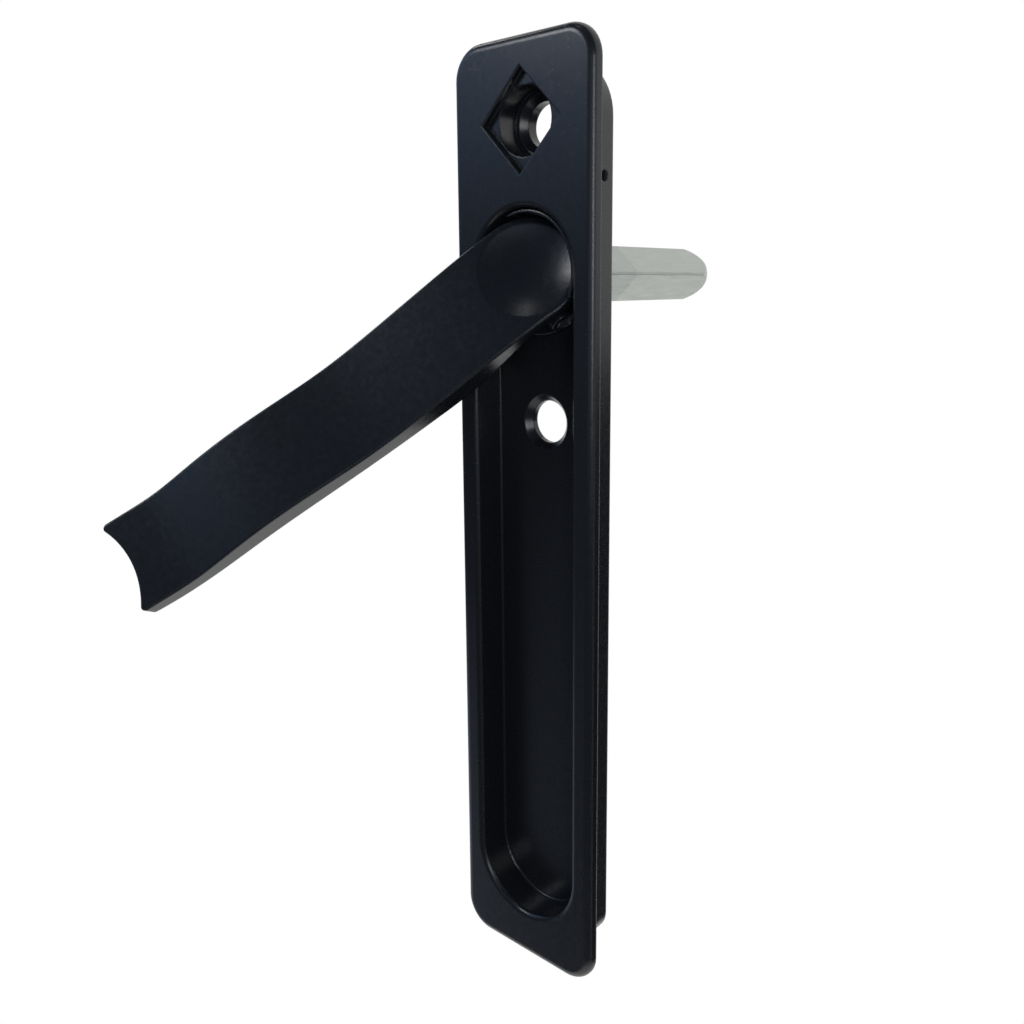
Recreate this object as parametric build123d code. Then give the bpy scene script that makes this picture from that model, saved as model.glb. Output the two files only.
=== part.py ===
from build123d import *
import math
import os

# A recessed sash handle: a flat lever folds out of a long pocket and then turns the square spindle.
# Millimetres. +X is right, +Y goes back into the sash, +Z is up.
# The origin is where the spindle's axis meets the seating plane, the back of the flange.

# Pose that the solids are drawn in: the lever is folded out and swung from hanging towards the left.
swing_rest = 45.0
fold_rest = 35.0

# Flange of the housing
flange_up = 40.4
flange_down = 134.9
flange_width = 32.5
flange_thickness = 2.0
flange_corner = 6.1
flange_edge = 1.7

# Body of the housing behind the flange
body_width = 27.2
body_up = 37.0
body_down = 129.0
body_depth = 7.2
body_top_corner = 10.8
body_low_corner = 5.0
body_edge = 0.7

# Long finger pocket
pocket_width = 22.8
pocket_down = 125.7
pocket_floor = 4.8
pocket_rim = 1.0
pocket_root = 0.5

# Two screw holes
screw_up = 26.0
screw_down = 27.5
screw_hole = 8.0
screw_seat = 10.4
screw_seat_depth = 1.3

# Diamond recess round the upper screw hole
diamond_width = 17.8
diamond_height = 18.1
diamond_depth = 1.4
diamond_edge = 0.25
counterbore = 12.0
counterbore_floor = 3.8
cap_notch_width = 5.0
cap_notch_height = 1.1
cap_notch_depth = 0.5

# Small blind hole in the right side of the body
side_hole = 2.0
side_hole_depth = 3.0
side_hole_back = 4.3
side_hole_up = 16.1

# Turning hub
drum_gap = 0.25
drum_front = -1.0
drum_edge = 0.3
drum_rim = 0.6
lip_depth = 1.5
neck_diameter = 19.8
neck_back = 10.2
hub_gap = 0.05
rim_low = 4.2
cradle_floor = 2.9
stop_gap = 0.15
head_gap = 0.2
ear_width = 5.5

# Square shank, pressed into the hub's neck
shank_front = 6.4
shank_back = 26.5

# Bush, washers and ring that hold the hub in the housing
bush_wall = 0.6
bush_flange = 0.4
bush_gap = 0.1
bow_thickness = 0.4
bow_rise = 0.4
ring_gap = 0.05
washer_thickness = 0.5
washer_rim = 1.5
ring_thickness = 1.0
ring_rim = 1.3
ring_bite = 0.7
ring_mouth = 40.0

# Balls and springs in the neck that click into the bush at every quarter turn
click_ball = 1.9
click_bite = 0.35
click_wall = 0.4
click_wire = 0.3
click_turns = 4

# Hinge of the lever
pin_drop = 2.0
pin_depth = 2.6
pin_diameter = 2.5
pin_clearance = 0.05
knuckle_radius = 2.4
knuckle_width = 9.4
knuckle_gap = 0.3
shim_thickness = 0.4
shim_radius = 2.2

# Ball and spring that hold the lever folded out
ball_diameter = 2.4
ball_gap = 0.03
ball_clearance = 0.05
spring_space = 7.0
spring_wire = 0.4
spring_turns = 6

# Lever, measured along the arm from the hinge pin and outward from the pin's axis
head_short = 0.0
root_half_width = 10.3
tip_half_width = 9.7
arm_length = 92.3
tip_hollow = 2.5
tip_corner = 0.9
lever_edge = 0.3
web_front = 3.4
dish_radius = 9.2
dish_depth = 1.7
dish_along = 0.3
dish_edge = 1.2
head_front = 5.2
head_back = 2.9

# Square spindle
square = 8.0
square_edge = 0.4
spindle_back = 58.3
nose_length = 9.8
stud_diameter = 4.0
stud_reach = 6.0

# Front and back of the lever: (distance along the arm, height over the pin's axis)
front_root = ((8.0, 4.9), (20.0, 3.7), (30.0, 2.6), (42.0, 2.05))
front_wave = ((54.0, 3.2), (64.0, 3.8), (72.0, 3.4), (80.0, 2.75))
back_line = ((12.0, 0.9), (20.0, -1.5), (28.0, -2.1), (42.0, -2.0), (54.0, -1.4), (66.0, -0.9), (80.0, -0.9))
tip_front = 4.5
tip_back = 1.6
waist = 5.5

drum_diameter = pocket_width - 2 * drum_gap
head_radius = drum_diameter / 2 - drum_rim - head_gap
head_reach = head_radius - head_short

overcut = 5.0


def slab(outline, front, back):
    """Thicken an outline drawn in X and Z from one depth to another."""
    return extrude(Pos(0, back, 0) * (Plane.XZ * outline), amount=back - front)


def disc(diameter, front, back, up=0.0):
    """A round slab on an axis that runs front to back."""
    return slab(Pos(0, up) * Circle(diameter / 2), front, back)


def taper(front_diameter, back_diameter, front, back, up=0.0):
    """A cone on an axis that runs front to back."""
    cone = Cone(back_diameter / 2, front_diameter / 2, back - front)
    return Pos(0, (front + back) / 2, up) * Rot(90, 0, 0) * cone


def cross_bar(diameter, left, right, depth, up):
    """A round bar that runs from left to right."""
    bar = Cylinder(diameter / 2, right - left)
    return Pos((left + right) / 2, depth, up) * Rot(0, 90, 0) * bar


def upright(width, low, high, corner):
    """A rounded rectangle that stands between two heights."""
    return Pos(0, (low + high) / 2) * RectangleRounded(width, high - low, corner)


def stadium(width, low, high):
    """An upright outline with a half circle at each end."""
    radius = width / 2
    middle = Pos(0, (low + high) / 2) * Rectangle(width, high - low - width)
    return middle + Pos(0, low + radius) * Circle(radius) + Pos(0, high - radius) * Circle(radius)


def at_depth(shape, depth):
    """The edges of a shape that lie in the plane at one depth."""
    return shape.edges().filter_by_position(Axis.Y, depth - 0.01, depth + 0.01)


def swung(shape):
    """Turn what rides on the hub from hanging to the drawn pose."""
    return Rot(0, swing_rest, 0) * shape


def folded(shape):
    """Fold what rides on the lever out of the pocket, then swing it with the hub."""
    to_pin = Pos(0, pin_depth, -pin_drop)
    return swung(to_pin * Rot(-fold_rest, 0, 0) * to_pin.inverse() * shape)


def make_housing():
    """Flange, body, pocket, screw holes and the bore of the hub, cast in one piece."""
    front = -flange_thickness
    flange = slab(upright(flange_width, -flange_down, flange_up, flange_corner), front, 0)
    flange = fillet(at_depth(flange, front), flange_edge)
    body = slab(body_outline(), 0, body_depth)
    body = fillet(at_depth(body, body_depth), body_edge)

    outline = stadium(pocket_width, -pocket_down, pocket_width / 2)
    pocket = slab(outline, front - overcut, pocket_floor)
    pocket = fillet(at_depth(pocket, pocket_floor), pocket_root)
    bore = disc(neck_diameter + 2 * bush_wall, 0, body_depth + overcut)
    housing = flange + body - pocket
    reach = pocket_width / 2 + pocket_rim
    rim = [edge for edge in at_depth(housing, front) if edge.bounding_box().max.X < reach]
    housing = fillet(rim, pocket_rim) - bore
    housing -= upper_screw_hole() + lower_screw_hole()
    housing = fillet(diamond_mouth(housing), diamond_edge)
    reach = body_width / 2 - side_hole_depth
    return housing - cross_bar(side_hole, reach, body_width, side_hole_back, side_hole_up)


def diamond_mouth(housing):
    """The four front edges of the diamond recess."""
    reach = diamond_width / 2
    edges = at_depth(housing, -flange_thickness).filter_by(GeomType.LINE)
    return [edge for edge in edges if edge.bounding_box().max.X < reach and abs(edge.center().X) > reach / 4]


def body_outline():
    """The body's front view, rounder at the top than at the bottom."""
    outline = Pos(0, (body_up - body_down) / 2) * Rectangle(body_width, body_up + body_down)
    top = [corner for corner in outline.vertices() if corner.Y > 0]
    outline = fillet(top, body_top_corner)
    low = outline.vertices().sort_by(Axis.Y)[:2]
    return fillet(low, body_low_corner)


def upper_screw_hole():
    """The diamond recess with its counterbore, seat and screw hole."""
    half_width = diamond_width / 2
    half_height = diamond_height / 2
    front = -flange_thickness
    corners = ((0, half_height), (-half_width, 0), (0, -half_height), (half_width, 0))
    diamond = Pos(0, screw_up) * Polygon(*corners, align=None)
    hole = slab(diamond, front - overcut, front + diamond_depth)
    hole += disc(counterbore, front, counterbore_floor, screw_up)
    seat_back = counterbore_floor + screw_seat_depth
    hole += taper(screw_seat, screw_hole, counterbore_floor, seat_back, screw_up)
    hole += disc(screw_hole, 0, body_depth + overcut, screw_up)
    notch_up = screw_up + half_height - cap_notch_width / 2 - cap_notch_height
    notch = Pos(0, notch_up) * Rectangle(cap_notch_width, cap_notch_height)
    floor = front + diamond_depth
    return hole + slab(notch, floor - cap_notch_depth, floor + cap_notch_depth)


def lower_screw_hole():
    """The countersunk screw hole through the pocket's floor."""
    seat_back = pocket_floor + screw_seat_depth
    hole = taper(screw_seat, screw_hole, pocket_floor, seat_back, -screw_down)
    return hole + disc(screw_hole, 0, body_depth + overcut, -screw_down)


def make_hub():
    """Drum with the cradle of the lever's head, its ears and the neck, cast in one piece."""
    drum_back = pocket_floor - bush_flange
    neck = neck_diameter - 2 * hub_gap
    drum = disc(drum_diameter, drum_front, drum_back)
    drum = fillet(at_depth(drum, drum_front), drum_edge)
    hub = drum + disc(neck, drum_back, neck_back)
    hub -= groove()
    hub -= cradle()
    hub += drum & (ear(1) + ear(-1))
    inner = knuckle_half()
    hub -= cross_bar(2 * (knuckle_radius + knuckle_gap), -inner, inner, pin_depth, -pin_drop)
    hub -= cross_bar(pin_diameter, -drum_diameter, drum_diameter, pin_depth, -pin_drop)
    hub -= Pos(0, 0, -pin_drop) * disc(ball_diameter + 2 * ball_clearance, pin_depth, spring_back())
    bore = cross_bar(click_ball + 2 * ball_clearance, click_end(), drum_diameter, click_depth(), 0)
    hub -= bore + Rot(0, 180, 0) * bore
    return hub - square_bar(shank_front, shank_back)


def make_shank():
    """The short square bar that is pressed into the neck."""
    shank = square_bar(shank_front, shank_back)
    shank -= Pos(0, 0, -pin_drop) * disc(ball_diameter + 2 * ball_clearance, 0, spring_back())
    return shank - disc(stud_diameter, shank_back - stud_reach, shank_back + overcut)


def knuckle_half():
    """Half of the space between the hub's two ears."""
    return knuckle_width / 2 + shim_thickness + pin_clearance


def ball_centre():
    """Depth of the ball that presses on the lever's knuckle."""
    return pin_depth + knuckle_radius + ball_gap + ball_diameter / 2


def spring_back():
    """Depth of the bottom of the ball's bore."""
    return ball_centre() + ball_diameter / 2 + spring_space


def groove():
    """Space for the retaining ring, cut round the hub's neck."""
    front = ring_front()
    back = front + ring_thickness
    return disc(neck_diameter + overcut, front, back) - disc(neck_diameter - 2 * ring_bite, front, back)


def ring_front():
    """Depth of the retaining ring, behind the housing and both washers."""
    return washer_front() + washer_thickness + ring_gap


def washer_front():
    """Depth of the flat washer, behind the bowed one."""
    return body_depth + bow_thickness + bow_rise


def cradle():
    """The hollow that the lever's head rocks in, open below for the arm."""
    lean = math.radians(fold_rest)
    rise = head_front * math.sin(lean) + (head_reach - head_radius) * math.cos(lean) - pin_drop
    width = head_radius + head_gap
    height = head_radius * math.cos(lean) + head_gap
    under_head = (head_back - stop_gap) / math.cos(lean)
    flat_end = -pin_drop - (pin_depth - cradle_floor - under_head) / math.tan(lean)
    far_end = rise + height
    reach = head_reach + head_gap
    heel_depth = pin_depth + reach * math.sin(lean) - (head_back - stop_gap) * math.cos(lean)
    heel = -pin_drop + reach * math.cos(lean) + (head_back - stop_gap) * math.sin(lean)
    end_depth = heel_depth - (far_end - heel) / math.tan(lean)
    front = drum_front - overcut
    below = -drum_diameter
    floor = [(front, below), (cradle_floor, below), (cradle_floor, flat_end), (heel_depth, heel)]
    side = Polygon(*floor, (end_depth, far_end), (front, far_end), align=None)
    trough = extrude(Plane.YZ * side, amount=width, both=True)
    outline = Pos(0, rise) * Ellipse(width, height)
    outline += Pos(0, rise + below / 2) * Rectangle(2 * width, -below)
    trough &= slab(outline, front, neck_back)
    open_side = Pos(0, rim_low + below / 2) * Rectangle(-2 * below, -below)
    mouth = disc(drum_diameter - 2 * drum_rim, front, lip_depth)
    return trough + mouth + slab(open_side, front, cradle_floor)


def ear(side):
    """One of the two ears that hold the hinge pin."""
    inner = knuckle_half()
    left = min(side * inner, side * (inner + ear_width))
    right = left + ear_width
    barrel = cross_bar(2 * knuckle_radius, left, right, pin_depth, -pin_drop)
    base_back = cradle_floor + knuckle_radius
    base = Box(ear_width, base_back - pin_depth, 2 * knuckle_radius)
    base = Pos(0, (pin_depth + base_back) / 2, -pin_drop) * base
    return barrel + Pos((left + right) / 2, 0, 0) * base


def square_bar(front, back):
    """A length of square bar with eased edges."""
    outline = chamfer(Rectangle(square, square).vertices(), square_edge)
    return slab(outline, front, back)


def make_spindle():
    """The square bar that turns the lock, with a bullet nose."""
    bar = square_bar(shank_back, spindle_back)
    widest = square / math.sqrt(2)
    shoulder = spindle_back - nose_length
    nose = Pos(shoulder, 0) * Ellipse(nose_length, widest)
    nose += Pos((shoulder + shank_back) / 2, 0) * Rectangle(shoulder - shank_back, 2 * widest)
    half = Pos(shoulder, overcut) * Rectangle(2 * spindle_back, 2 * overcut)
    swept = revolve(Plane.YX * (nose & half), Axis.Y)
    return (bar & swept) - disc(stud_diameter, shank_back - overcut, shank_back + stud_reach)


def make_stud():
    """The threaded stud that joins the spindle to the hub's shank."""
    return disc(stud_diameter, shank_back - stud_reach, shank_back + stud_reach)


def make_bush():
    """The flanged bush that the hub turns in."""
    outer = disc(neck_diameter + 2 * bush_wall, pocket_floor - bush_flange, body_depth)
    rim = pocket_width - 2 * (pocket_root + bush_gap)
    flange = disc(rim, pocket_floor - bush_flange, pocket_floor)
    bush = outer + flange - disc(neck_diameter, 0, body_depth + overcut)
    dimple = Pos(click_centre() + click_bite, click_depth(), 0) * Sphere(click_ball / 2)
    for quarter in range(4):
        bush -= Rot(0, 90 * quarter, 0) * dimple
    return bush


def click_centre():
    """Distance of a click ball's centre from the hub's axis."""
    return neck_diameter / 2 - ball_gap - click_ball / 2


def click_depth():
    """Depth of the click balls, halfway along the bush."""
    return (pocket_floor + body_depth) / 2


def click_end():
    """Distance of the inner end of a click ball's bore from the hub's axis, just clear of the shank."""
    return square / 2 + click_wall


def make_click_ball(side):
    """A ball that clicks into the bush."""
    return Pos(side * click_centre(), click_depth(), 0) * Sphere(click_ball / 2)


def make_click_spring(side):
    """The compression spring behind a click ball."""
    space = click_centre() - click_ball / 2 - click_end()
    coil = spring(click_ball, click_wire, space, click_turns)
    return Rot(0, 90 - 90 * side, 0) * Pos(click_end(), click_depth(), 0) * Rot(0, 90, 0) * coil


def make_spring_washer():
    """The bowed washer that takes up the hub's play."""
    reach = neck_diameter / 2 + washer_rim
    front = body_depth + bow_thickness
    low = ThreePointArc((-reach, body_depth), (0, body_depth + bow_rise), (reach, body_depth))
    high = ThreePointArc((reach, front), (0, front + bow_rise), (-reach, front))
    right = Line((reach, body_depth), (reach, front))
    left = Line((-reach, front), (-reach, body_depth))
    bow = extrude(make_face(low + right + high + left), amount=reach, both=True)
    ring = disc(2 * reach, body_depth, washer_front())
    return bow & (ring - disc(neck_diameter + 2 * hub_gap, 0, neck_back))


def make_thrust_washer():
    """The flat washer under the retaining ring."""
    front = washer_front()
    rim = disc(neck_diameter + 2 * washer_rim, front, front + washer_thickness)
    return rim - disc(neck_diameter + 2 * hub_gap, 0, front + overcut)


def make_retaining_ring():
    """The split ring that snaps into the groove of the neck."""
    front = ring_front()
    back = front + ring_thickness
    ring = disc(neck_diameter + 2 * ring_rim, front, back)
    ring -= disc(neck_diameter - 2 * ring_bite, front, back)
    reach = neck_diameter
    half = math.radians(ring_mouth / 2)
    mouth = Polygon((0, 0), (reach * math.sin(half), reach), (-reach * math.sin(half), reach), align=None)
    return ring - slab(mouth, front, back)


def make_hinge_pin():
    """The pin that is pressed into the hub's ears and carries the lever."""
    reach = knuckle_half() + ear_width
    return cross_bar(pin_diameter, -reach, reach, pin_depth, -pin_drop)


def make_shim(side):
    """A friction washer between the knuckle and an ear."""
    inner = knuckle_width / 2
    left = min(side * inner, side * (inner + shim_thickness))
    right = left + shim_thickness
    shim = cross_bar(2 * shim_radius, left, right, pin_depth, -pin_drop)
    return shim - cross_bar(pin_diameter + 2 * pin_clearance, left, right, pin_depth, -pin_drop)


def make_ball():
    """The ball that presses on the knuckle's flats."""
    return Pos(0, ball_centre(), -pin_drop) * Sphere(ball_diameter / 2)


def make_spring():
    """The compression spring behind the ball."""
    coil = spring(ball_diameter, spring_wire, spring_space, spring_turns)
    return Pos(0, spring_back(), -pin_drop) * Rot(90, 0, 0) * coil


def spring(width, wire, space, turns):
    """A coil spring that stands in a space of one length, from zero upwards."""
    height = space - wire
    coil = Helix(pitch=height / turns, height=height, radius=(width - wire) / 2)
    return Pos(0, 0, wire / 2) * sweep(Plane(coil @ 0, z_dir=coil % 0) * Circle(wire / 2), path=coil)


def make_lever():
    """The folding lever: dished head, waved arm, hollowed tip and knuckle, cast in one piece."""
    lever = lever_side() & slab(lever_outline(), -flange_width, flange_width)
    lever = chamfer(lever_front_edges(lever), lever_edge)
    knuckle = cross_bar(2 * knuckle_radius, -knuckle_width / 2, knuckle_width / 2, pin_depth, -pin_drop)
    knuckle += Pos(0, pin_depth - web_front / 2, -pin_drop) * Box(knuckle_width, web_front, knuckle_radius)
    lever += knuckle
    lever -= dish()
    lever = fillet(dish_rim(lever), dish_edge)
    bore = cross_bar(pin_diameter + 2 * pin_clearance, -flange_width, flange_width, pin_depth, -pin_drop)
    return lever - bore


def lever_front_edges(lever):
    """The edges all round the lever's front."""
    faces = [face for face in lever.faces() if face.normal_at().Y < -0.8]
    return [edge for face in faces for edge in face.edges() if edge.geom_type != GeomType.LINE]


def dish_rim(lever):
    """The round edge of the thumb dish."""
    return lever.faces().filter_by(GeomType.SPHERE)[0].edges()


def lever_side():
    """The waved side view of the lever, as wide as the widest part of it."""
    front = [(-head_reach, head_front), (0, head_front), *front_root, *front_wave, (arm_length, tip_front)]
    back = [(arm_length, tip_back), *reversed(back_line), (waist, head_back)]
    front = [to_side(point) for point in front]
    back = [to_side(point) for point in back]
    heel = to_side((-head_reach, head_back))
    outline = Line(front[0], front[1]) + Spline(*front[1:], tangents=((0, -1), (-0.16, -1)))
    outline += Line(front[-1], back[0]) + Spline(*back) + Line(back[-1], heel) + Line(heel, front[0])
    return extrude(Plane.YZ.offset(-flange_width) * make_face(outline), amount=2 * flange_width)


def to_side(point):
    """Turn a place along the arm and over the pin into Y and Z of the hanging lever."""
    along, over = point
    return (pin_depth - over, -pin_drop - along)


def lever_outline():
    """The front view of the hanging lever."""
    centre = -pin_drop - head_radius + head_reach
    tip = -pin_drop - arm_length
    head = Pos(0, centre) * Circle(head_radius)
    arm = Polygon(
        (-root_half_width, centre),
        (-tip_half_width, tip),
        (tip_half_width, tip),
        (root_half_width, centre),
        align=None,
    )
    radius = (tip_half_width ** 2 + tip_hollow ** 2) / (2 * tip_hollow)
    outline = head + arm - Pos(0, tip + tip_hollow - radius) * Circle(radius)
    ends = [corner for corner in outline.vertices() if corner.Y < tip + 0.1]
    return fillet(ends, tip_corner)


def dish():
    """The ball that hollows the thumb dish into the head."""
    radius = (dish_radius ** 2 + dish_depth ** 2) / (2 * dish_depth)
    depth = pin_depth - head_front + dish_depth - radius
    return Pos(0, depth, -pin_drop - dish_along) * Sphere(radius)


parts = {
    "housing": make_housing(),
    "hub": swung(make_hub()),
    "hub_bush": make_bush(),
    "shank": swung(make_shank()),
    "spring_washer": swung(make_spring_washer()),
    "thrust_washer": swung(make_thrust_washer()),
    "retaining_ring": swung(make_retaining_ring()),
    "index_ball_left": swung(make_click_ball(-1)),
    "index_ball_right": swung(make_click_ball(1)),
    "index_spring_left": swung(make_click_spring(-1)),
    "index_spring_right": swung(make_click_spring(1)),
    "spindle": swung(make_spindle()),
    "spindle_stud": swung(make_stud()),
    "hinge_pin": swung(make_hinge_pin()),
    "shim_left": folded(make_shim(-1)),
    "shim_right": folded(make_shim(1)),
    "fold_ball": swung(make_ball()),
    "fold_spring": swung(make_spring()),
    "lever": folded(make_lever()),
}

os.makedirs("parts", exist_ok=True)
for name, solid in parts.items():
    export_step(solid, f"parts/{name}.step")
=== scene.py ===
import math

import bpy
from mathutils import Matrix, Vector

# Recessed sash handle: satin black casting with a folding lever, on a plain pale background.
# Metres, in the part's own frame: +Y goes back into the sash, +Z is up.

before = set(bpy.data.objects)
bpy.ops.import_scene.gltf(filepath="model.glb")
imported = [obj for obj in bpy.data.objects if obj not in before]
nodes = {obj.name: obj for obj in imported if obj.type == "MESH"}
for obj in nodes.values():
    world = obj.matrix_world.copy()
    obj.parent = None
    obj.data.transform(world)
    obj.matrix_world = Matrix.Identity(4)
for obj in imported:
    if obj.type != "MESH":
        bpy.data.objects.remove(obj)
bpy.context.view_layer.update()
scene = bpy.context.scene
scene.view_settings.view_transform = "Standard"


# Materials. Scales are in waves per metre, depths and edges in metres.

noise_low = 0.3
noise_high = 0.7
edge_samples = 6

paint_cloud = {"scale": 60, "detail": 4}
paint_gloss = {"scale": 900, "detail": 3}
paint_peel = {"scale": 1500, "detail": 1}
peel_strength = 0.05
peel_depth = 0.00006
paint_edge = 0.0004

metal_cloud = {"scale": 240, "detail": 3}
grain_detail = 5
grain_depth = 0.00004
metal_edge = 0.0002


def material(name):
    mat = bpy.data.materials.new(name)
    mat.use_nodes = True
    tree = mat.node_tree
    tree.nodes.clear()
    out = tree.nodes.new("ShaderNodeOutputMaterial")
    out.name = "Output"
    bsdf = tree.nodes.new("ShaderNodeBsdfPrincipled")
    bsdf.name = "Surface"
    tree.links.new(bsdf.outputs[0], out.inputs[0])
    return mat, tree, bsdf


def object_coords(tree):
    return tree.nodes.new("ShaderNodeTexCoord").outputs["Object"]


def noise(tree, coords, scale, detail, stretch=(1, 1, 1)):
    mapping = tree.nodes.new("ShaderNodeMapping")
    mapping.inputs["Scale"].default_value = stretch
    tree.links.new(coords, mapping.inputs["Vector"])
    tex = tree.nodes.new("ShaderNodeTexNoise")
    tex.inputs["Scale"].default_value = scale
    tex.inputs["Detail"].default_value = detail
    tree.links.new(mapping.outputs[0], tex.inputs["Vector"])
    return tex.outputs["Fac"]


def spread(tree, fac, low, high):
    node = tree.nodes.new("ShaderNodeMapRange")
    node.inputs["From Min"].default_value = noise_low
    node.inputs["From Max"].default_value = noise_high
    node.inputs["To Min"].default_value = low
    node.inputs["To Max"].default_value = high
    tree.links.new(fac, node.inputs["Value"])
    return node.outputs[0]


def ramp(tree, value, start, end):
    node = tree.nodes.new("ShaderNodeMapRange")
    node.interpolation_type = "SMOOTHSTEP"
    node.inputs["From Min"].default_value = start
    node.inputs["From Max"].default_value = end
    tree.links.new(value, node.inputs["Value"])
    return node.outputs[0]


def maths(tree, operation, first, second):
    node = tree.nodes.new("ShaderNodeMath")
    node.operation = operation
    tree.links.new(first, node.inputs[0])
    tree.links.new(second, node.inputs[1])
    return node.outputs[0]


def blend_colours(tree, fac, low, high):
    mix = tree.nodes.new("ShaderNodeMix")
    mix.data_type = "RGBA"
    mix.inputs["A"].default_value = (*low, 1)
    mix.inputs["B"].default_value = (*high, 1)
    tree.links.new(fac, mix.inputs["Factor"])
    return mix.outputs["Result"]


def cover(tree, fac, under, colour):
    """Lays one colour over a colour that comes from a socket."""
    mix = tree.nodes.new("ShaderNodeMix")
    mix.data_type = "RGBA"
    tree.links.new(fac, mix.inputs["Factor"])
    tree.links.new(under, mix.inputs["A"])
    mix.inputs["B"].default_value = (*colour, 1)
    return mix.outputs["Result"]


def bump(tree, bsdf, height, strength, distance, edge):
    """Fine relief on a normal that is softened over sharp edges."""
    soft = tree.nodes.new("ShaderNodeBevel")
    soft.samples = edge_samples
    soft.inputs["Radius"].default_value = edge
    node = tree.nodes.new("ShaderNodeBump")
    node.inputs["Strength"].default_value = strength
    node.inputs["Distance"].default_value = distance
    tree.links.new(height, node.inputs["Height"])
    tree.links.new(soft.outputs[0], node.inputs["Normal"])
    tree.links.new(node.outputs[0], bsdf.inputs["Normal"])


def black_paint(name, low, high, rough):
    mat, tree, bsdf = material(name)
    coords = object_coords(tree)
    cloud = noise(tree, coords, **paint_cloud)
    tree.links.new(blend_colours(tree, cloud, low, high), bsdf.inputs["Base Color"])
    gloss = noise(tree, coords, **paint_gloss)
    tree.links.new(spread(tree, gloss, *rough), bsdf.inputs["Roughness"])
    peel = noise(tree, coords, **paint_peel)
    bump(tree, bsdf, peel, peel_strength, peel_depth, paint_edge)
    return mat


def metal(name, low, high, rough, scale, stretch=(1, 1, 1), strength=0.15):
    mat, tree, bsdf = material(name)
    bsdf.inputs["Metallic"].default_value = 1
    coords = object_coords(tree)
    grain = noise(tree, coords, scale, grain_detail, stretch)
    cloud = noise(tree, coords, **metal_cloud)
    tree.links.new(blend_colours(tree, cloud, low, high), bsdf.inputs["Base Color"])
    tree.links.new(spread(tree, grain, *rough), bsdf.inputs["Roughness"])
    bump(tree, bsdf, grain, strength, grain_depth, metal_edge)
    return mat


def lighter_hole(mat, centre, radius, reach, colour):
    """Lighter grey inside a small blind hole along X, laid over the paint's colour."""
    tree = mat.node_tree
    base = tree.nodes["Surface"].inputs["Base Color"]
    paint = base.links[0].from_socket
    mapping = tree.nodes.new("ShaderNodeMapping")
    mapping.vector_type = "TEXTURE"
    mapping.inputs["Location"].default_value = centre
    mapping.inputs["Scale"].default_value = (reach, radius, radius)
    tree.links.new(object_coords(tree), mapping.inputs["Vector"])
    away = tree.nodes.new("ShaderNodeVectorMath")
    away.operation = "LENGTH"
    tree.links.new(mapping.outputs[0], away.inputs[0])
    inside = tree.nodes.new("ShaderNodeMapRange")
    inside.inputs["From Min"].default_value = 1.0
    inside.inputs["From Max"].default_value = 0.9
    tree.links.new(away.outputs["Value"], inside.inputs["Value"])
    tree.links.new(cover(tree, inside.outputs[0], paint, colour), base)


casting_low = (0.013, 0.0145, 0.017)
casting_high = (0.0155, 0.0175, 0.021)
# The lever's black is a darker, bluer copy of the casting's black paint: painted shade with a painted
# blue cast, for how the lever looks under this light.
lever_shaded_low = (0.009, 0.0115, 0.015)
lever_shaded_high = (0.0115, 0.0145, 0.019)
bush_low = (0.03, 0.03, 0.033)
bush_high = (0.04, 0.04, 0.044)
satin = (0.22, 0.28)
dull = (0.45, 0.55)
drawn = (4, 0.3, 4)

housing_paint = black_paint("housing_paint", casting_low, casting_high, satin)
lighter_hole(housing_paint, centre=(0.0136, 0.0043, 0.0161), radius=0.0011, reach=0.0025,
          colour=(0.1, 0.1, 0.105))
lever_paint = black_paint("lever_paint", lever_shaded_low, lever_shaded_high, satin)
hub_paint = black_paint("hub_paint", casting_low, casting_high, satin)
shank_steel = metal("shank_steel", low=(0.34, 0.37, 0.35), high=(0.40, 0.42, 0.40),
                    rough=(0.34, 0.46), scale=700, stretch=drawn)
spindle_steel = metal("spindle_steel", low=(0.36, 0.39, 0.36), high=(0.42, 0.44, 0.41),
                      rough=(0.3, 0.42), scale=700, stretch=drawn)
plated = metal("plated_steel", low=(0.5, 0.52, 0.52), high=(0.6, 0.61, 0.6),
               rough=(0.26, 0.38), scale=800)
bearing = metal("bearing_steel", low=(0.6, 0.61, 0.62), high=(0.66, 0.67, 0.68),
                rough=(0.08, 0.14), scale=500, strength=0.03)
sprung = metal("spring_steel", low=(0.2, 0.21, 0.22), high=(0.28, 0.29, 0.3),
               rough=(0.28, 0.4), scale=900)
bush = black_paint("bush_plastic", bush_low, bush_high, dull)

finishes = {
    "housing": housing_paint,
    "hub": hub_paint,
    "shank": shank_steel,
    "hub_bush": bush,
    "index_ball_left": bearing,
    "index_ball_right": bearing,
    "index_spring_left": sprung,
    "index_spring_right": sprung,
    "spring_washer": sprung,
    "thrust_washer": plated,
    "retaining_ring": sprung,
    "spindle": spindle_steel,
    "spindle_stud": plated,
    "hinge_pin": plated,
    "shim_left": bush,
    "shim_right": bush,
    "fold_ball": bearing,
    "fold_spring": sprung,
    "lever": lever_paint,
}
for name, finish in finishes.items():
    slots = nodes[name].data.materials
    for index in range(len(slots)):
        slots[index] = finish


# Camera at the photograph's viewing angle: the frame is turned to right, down and away, then
# rolled, yawed and pitched as the handle is in the photograph, in degrees.

camera_roll = -0.672
camera_yaw = 41.787
camera_pitch = 10.301
eye = Vector((0.11305, -0.1308, -0.0024))


def turn(axis, degrees):
    return Matrix.Rotation(math.radians(degrees), 3, axis)


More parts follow.
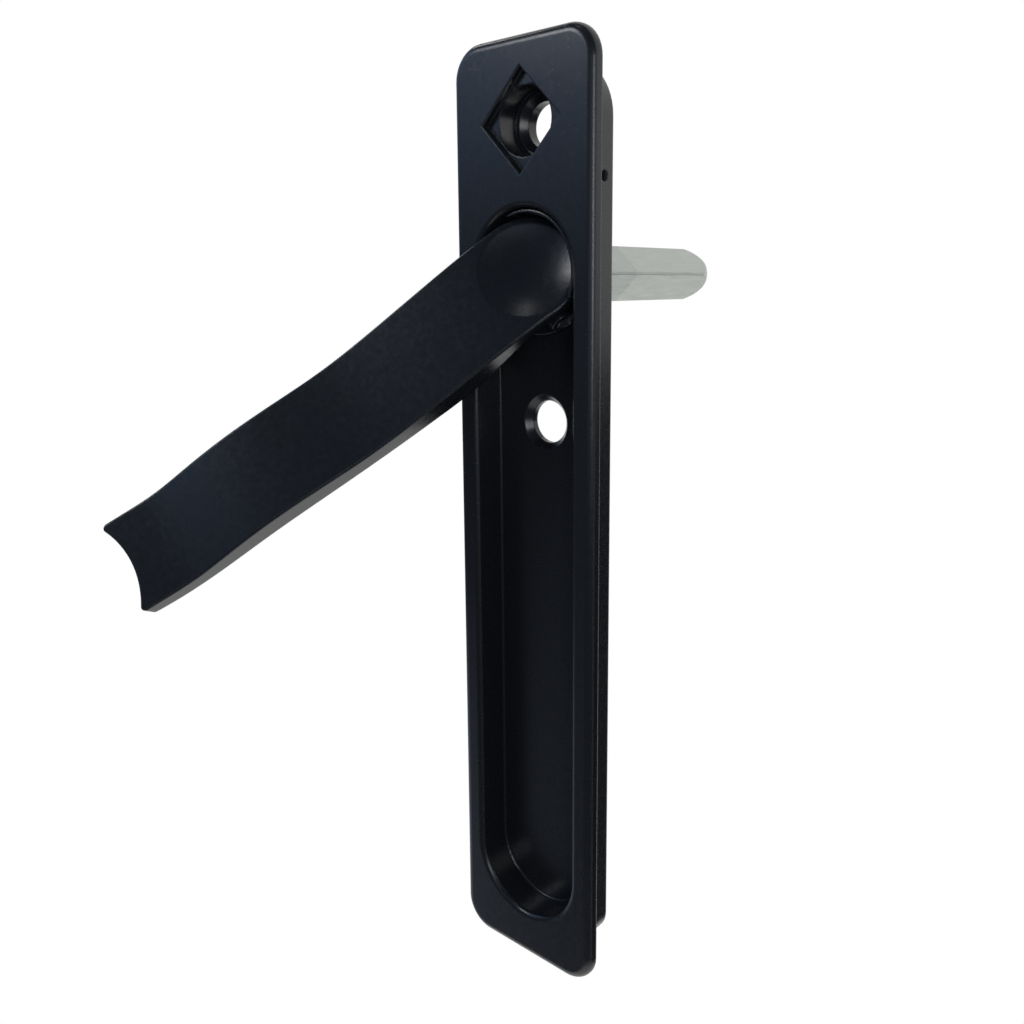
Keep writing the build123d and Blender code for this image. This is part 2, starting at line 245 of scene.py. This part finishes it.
right_down_away = Matrix(((1, 0, 0), (0, 0, -1), (0, 1, 0)))
blender_axes = Matrix.Diagonal((1, -1, -1))
to_view = turn("X", camera_pitch) @ turn("Y", camera_yaw) @ turn("Z", camera_roll) @ right_down_away
camera_data = bpy.data.cameras.new("photo_camera")
camera = bpy.data.objects.new("photo_camera", camera_data)
scene.collection.objects.link(camera)
camera.matrix_world = Matrix.Translation(eye) @ (to_view.transposed() @ blender_axes).to_4x4()
camera_data.sensor_width = 36
camera_data.lens = 33.362
camera_data.shift_y = -0.0589
camera_data.clip_start = 0.005
scene.camera = camera


# Studio: softboxes, a curved screen in front that glows blue at its upper left and pale at its
# right and in its lower left corner, a dark flag at the back right, and a pale floor well below the
# handle. Background and floor are white to the camera and in reflections, and no brighter than that.

floor_level = -0.8
floor_reach = 2
wall_radius = 0.62
screen_top = 0.75
flag_top = -0.06

screen_dim = (0.05, 0.058, 0.075)
screen_blue = (0.32, 0.5, 0.82)
screen_pale = (0.5, 0.56, 0.68)
sky_colour = (0.9, 0.95, 1.0)
sky_strength = 0.35

# Where each glow of the screen starts and where it is full, across X and up Z
left_across = (-0.12, -0.34)
left_foot = (-0.02, 0.22)
left_head = (0.57, 0.35)
front_across = (-0.22, 0.3)
front_foot = (-0.2, 0.02)
front_head = (0.27, 0.12)
corner_across = (-0.41, -0.52)
corner_head = (-0.24, -0.42)


def softbox(name, place, aim, width, height, radiance):
    data = bpy.data.lights.new(name, "AREA")
    data.shape = "RECTANGLE"
    data.size = width
    data.size_y = height
    data.energy = radiance * math.pi * width * height
    lamp = bpy.data.objects.new(name, data)
    scene.collection.objects.link(lamp)
    lamp.location = place
    lamp.rotation_euler = (Vector(aim) - Vector(place)).to_track_quat("-Z", "Y").to_euler()
    lamp.visible_camera = False


def add_stage(name, verts, faces, mat):
    mesh = bpy.data.meshes.new(name)
    mesh.from_pydata(verts, [], faces)
    mesh.materials.append(mat)
    piece = bpy.data.objects.new(name, mesh)
    scene.collection.objects.link(piece)
    return piece


def hidden_wall(name, mat, low, high, start, end, steps, lid):
    """Part of a cylinder round the handle, between two heights and two angles from the front."""
    verts = []
    faces = []
    for step in range(steps + 1):
        angle = math.radians(start + (end - start) * step / steps)
        x = wall_radius * math.sin(angle)
        y = -wall_radius * math.cos(angle)
        verts += [(x, y, low), (x, y, high)]
    for step in range(steps):
        first = 2 * step
        faces.append((first, first + 1, first + 3, first + 2))
    if lid:
        faces.append([2 * step + 1 for step in range(steps + 1)])
    add_stage(name, verts, faces, mat).visible_camera = False


def screen_cloth(name):
    mat, tree, bsdf = material(name)
    bsdf.inputs["Base Color"].default_value = (0.02, 0.02, 0.022, 1)
    bsdf.inputs["Roughness"].default_value = 0.9
    bsdf.inputs["Emission Strength"].default_value = 1
    split = tree.nodes.new("ShaderNodeSeparateXYZ")
    tree.links.new(object_coords(tree), split.inputs[0])
    across = split.outputs["X"]
    up = split.outputs["Z"]
    band = maths(tree, "MULTIPLY", ramp(tree, up, *left_foot), ramp(tree, up, *left_head))
    left = maths(tree, "MULTIPLY", band, ramp(tree, across, *left_across))
    lane = maths(tree, "MULTIPLY", ramp(tree, up, *front_foot), ramp(tree, up, *front_head))
    front = maths(tree, "MULTIPLY", lane, ramp(tree, across, *front_across))
    corner = maths(tree, "MULTIPLY", ramp(tree, up, *corner_head), ramp(tree, across, *corner_across))
    blue = blend_colours(tree, left, screen_dim, screen_blue)
    pale = maths(tree, "MAXIMUM", front, corner)
    tree.links.new(cover(tree, pale, blue, screen_pale), bsdf.inputs["Emission Color"])
    return mat


def flag_felt(name):
    mat, tree, bsdf = material(name)
    weave = noise(tree, object_coords(tree), scale=40, detail=3)
    felt = blend_colours(tree, weave, low=(0.02, 0.02, 0.02), high=(0.03, 0.03, 0.03))
    tree.links.new(felt, bsdf.inputs["Base Color"])
    bsdf.inputs["Roughness"].default_value = 0.9
    return mat


def seen_directly(tree):
    """1 for camera rays, reflections and glass, and 0 for the light that falls on the handle."""
    path = tree.nodes.new("ShaderNodeLightPath")
    mirrored = maths(tree, "MAXIMUM", path.outputs["Is Glossy Ray"], path.outputs["Is Transmission Ray"])
    return maths(tree, "MAXIMUM", path.outputs["Is Camera Ray"], mirrored)


def floor_paint(name):
    mat, tree, bsdf = material(name)
    bsdf.inputs["Base Color"].default_value = (0.9, 0.9, 0.9, 1)
    bsdf.inputs["Roughness"].default_value = 0.8
    bright = tree.nodes.new("ShaderNodeEmission")
    bright.inputs["Color"].default_value = (1, 1, 1, 1)
    bright.inputs["Strength"].default_value = 1
    mix = tree.nodes.new("ShaderNodeMixShader")
    tree.links.new(seen_directly(tree), mix.inputs[0])
    tree.links.new(bsdf.outputs[0], mix.inputs[1])
    tree.links.new(bright.outputs[0], mix.inputs[2])
    tree.links.new(mix.outputs[0], tree.nodes["Output"].inputs[0])
    return mat


def add_world(name):
    world = bpy.data.worlds.new(name)
    scene.world = world
    world.use_nodes = True
    tree = world.node_tree
    tree.nodes.clear()
    out = tree.nodes.new("ShaderNodeOutputWorld")
    white = tree.nodes.new("ShaderNodeBackground")
    white.inputs["Color"].default_value = (1, 1, 1, 1)
    white.inputs["Strength"].default_value = 1
    sky = tree.nodes.new("ShaderNodeBackground")
    sky.inputs["Color"].default_value = (*sky_colour, 1)
    sky.inputs["Strength"].default_value = sky_strength
    mix = tree.nodes.new("ShaderNodeMixShader")
    tree.links.new(seen_directly(tree), mix.inputs[0])
    tree.links.new(sky.outputs[0], mix.inputs[1])
    tree.links.new(white.outputs[0], mix.inputs[2])
    tree.links.new(mix.outputs[0], out.inputs[0])


softbox("key", place=(-0.272, -0.338, 0.266), aim=(0, 0, -0.02), width=0.12, height=0.17, radiance=7.5)
softbox("over", place=(-0.11, -0.175, 0.53), aim=(0, 0, -0.03), width=0.08, height=0.06, radiance=2.5)
softbox("crown", place=(-0.36, 0.04, 0.40), aim=(0, 0, 0), width=0.08, height=0.08, radiance=6.0)
softbox("front", place=(0.38, -0.33, 0.05), aim=(0, 0, 0), width=0.10, height=0.22, radiance=5.0)
softbox("side", place=(0.7, 0.1, 0.05), aim=(0, 0.02, -0.02), width=0.5, height=0.5, radiance=0.3)
softbox("under", place=(0.02, 0.42, -0.34), aim=(0, 0.04, 0), width=0.26, height=0.26, radiance=0.2)

hidden_wall("screen", screen_cloth("screen_glow"), low=floor_level, high=screen_top,
            start=-115, end=75, steps=24, lid=True)
hidden_wall("flag", flag_felt("flag_felt"), low=floor_level, high=flag_top,
            start=80, end=160, steps=8, lid=False)
square = ((-1, -1), (1, -1), (1, 1), (-1, 1))
corners = [(x * floor_reach, y * floor_reach, floor_level) for x, y in square]
add_stage("floor", corners, [(0, 1, 2, 3)], floor_paint("floor_paint"))
add_world("studio")
